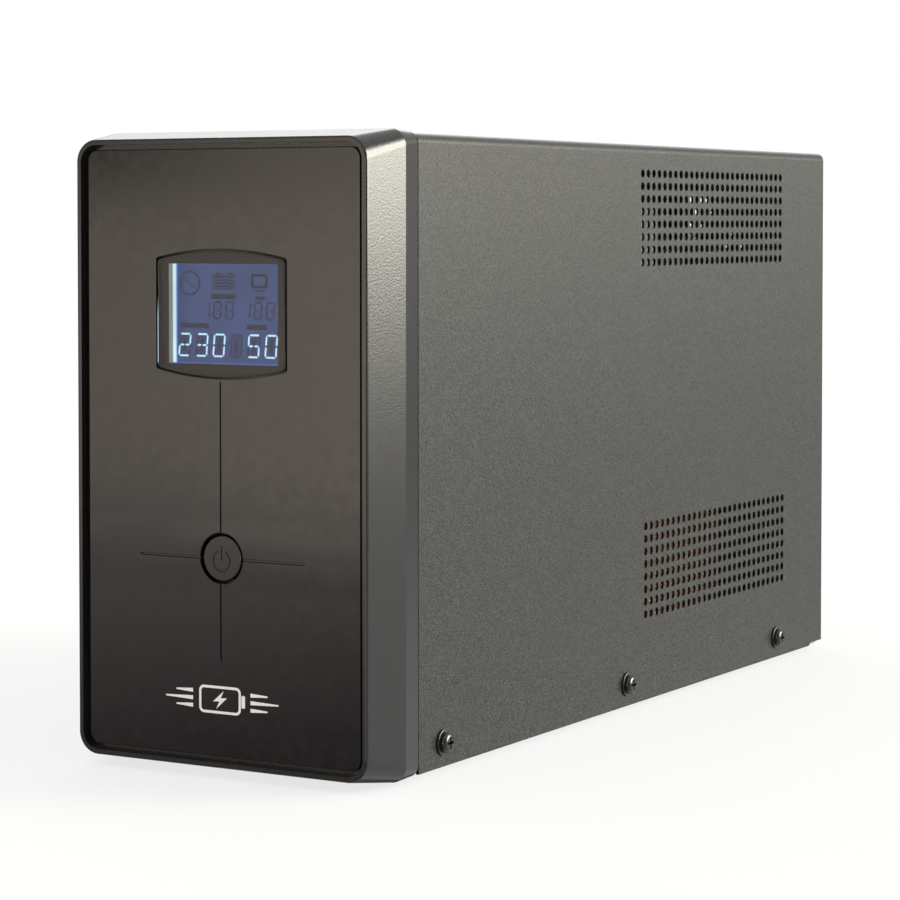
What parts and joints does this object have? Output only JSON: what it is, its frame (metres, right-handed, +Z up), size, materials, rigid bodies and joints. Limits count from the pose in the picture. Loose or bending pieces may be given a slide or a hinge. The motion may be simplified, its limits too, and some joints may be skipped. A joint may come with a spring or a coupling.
{
  "type": "uninterruptible power supply",
  "caption": "Tower battery backup with perforated wrap-over steel cover, glossy front panel with display and round power button, rear fan and mains outlets.",
  "frame": {"origin": "on the floor under the feet, at the middle of the overall width and depth", "axes": "+X to the right seen from the front, +Y from the front to the rear, +Z up"},
  "size_m": [0.1294, 0.39, 0.2238],
  "materials": {
    "case_paint": "satin",
    "zinc_steel": "satin",
    "bezel_plastic": "satin",
    "panel_gloss": "gloss",
    "lens_clear": "gloss",
    "white_plastic": "satin",
    "display_glass": "gloss",
    "light_guide": "gloss",
    "board_green": "satin",
    "black_plastic": "satin",
    "screw_black": "satin",
    "screw_zinc": "satin",
    "foot_rubber": "matte",
    "battery_grey": "matte",
    "lead_cells": "matte",
    "tin_tabs": "satin",
    "foam_pad": "matte",
    "core_iron": "matte",
    "bobbin_nylon": "matte",
    "copper_winding": "satin",
    "sink_aluminium": "satin",
    "part_black": "satin",
    "relay_blue": "satin",
    "capacitor_sleeve": "gloss",
    "choke_core": "satin",
    "fan_plastic": "satin",
    "contact_brass": "satin",
    "wire_red": "satin",
    "wire_black": "satin",
    "wire_grey": "satin",
    "wire_yellow": "satin",
    "breaker_button_white": "satin"
  },
  "bodies": {
    "case": {"side_cover": "case_paint", "base_tray": "zinc_steel", "front_plate": "zinc_steel", "rear_panel": "case_paint", "bezel_frame": "bezel_plastic", "front_panel": "panel_gloss", "display_lens": "lens_clear", "display_holder": "white_plastic", "lcd_glass": "display_glass", "backlight": "light_guide", "display_board": "board_green", "tact_switch": "part_black", "cover_screws": "screw_black", "bezel_screws": "screw_zinc", "rear_panel_screws": "screw_black", "rubber_feet": "foot_rubber", "battery_case_lower": "battery_grey", "battery_case_upper": "battery_grey", "battery_lid_lower": "battery_grey", "battery_lid_upper": "battery_grey", "battery_cells_lower": "lead_cells", "battery_cells_upper": "lead_cells", "battery_terminals": "tin_tabs", "battery_pads": "foam_pad", "battery_bracket": "zinc_steel", "transformer_core": "core_iron", "transformer_bobbin": "bobbin_nylon", "transformer_winding": "copper_winding", "transformer_frame": "zinc_steel", "transformer_screws": "screw_zinc", "board_shelf": "zinc_steel", "board_standoffs": "screw_zinc", "main_board": "board_green", "heatsink_left": "sink_aluminium", "heatsink_right": "sink_aluminium", "power_transistors": "part_black", "relays": "relay_blue", "capacitors": "capacitor_sleeve", "filter_choke": "choke_core", "fan_frame": "fan_plastic", "fan_stator": "copper_winding", "fan_screws": "screw_black", "outlet_left": "black_plastic", "outlet_right": "black_plastic", "outlet_contacts": "contact_brass", "inlet_housing": "black_plastic", "inlet_pins": "contact_brass", "breaker_body": "black_plastic", "breaker_nut": "screw_zinc", "usb_port": "tin_tabs", "data_jack": "black_plastic", "battery_lead_red": "wire_red", "battery_lead_black": "wire_black", "battery_link": "wire_black", "display_lead": "wire_grey", "transformer_leads": "wire_yellow"},
    "fan_wheel": {"fan_rotor": "fan_plastic"},
    "power_key": {"power_button": "panel_gloss", "switch_plunger": "part_black"},
    "reset_key": {"breaker_button": "breaker_button_white"}
  },
  "joints": [
    {"name": "power_button_press", "type": "slide", "parent": "case", "child": "power_key", "axis": [0, 1, 0], "range_m": [0, 0.0006], "stiffness_N_per_m": 2500},
    {"name": "fan_spin", "type": "hinge", "parent": "case", "child": "fan_wheel", "pos_m": [0, 0.1773, 0.1695], "axis": [0, 1, 0], "continuous": true},
    {"name": "breaker_reset", "type": "slide", "parent": "case", "child": "reset_key", "axis": [0, 1, 0], "range_m": [0, 0.003]}
  ]
}
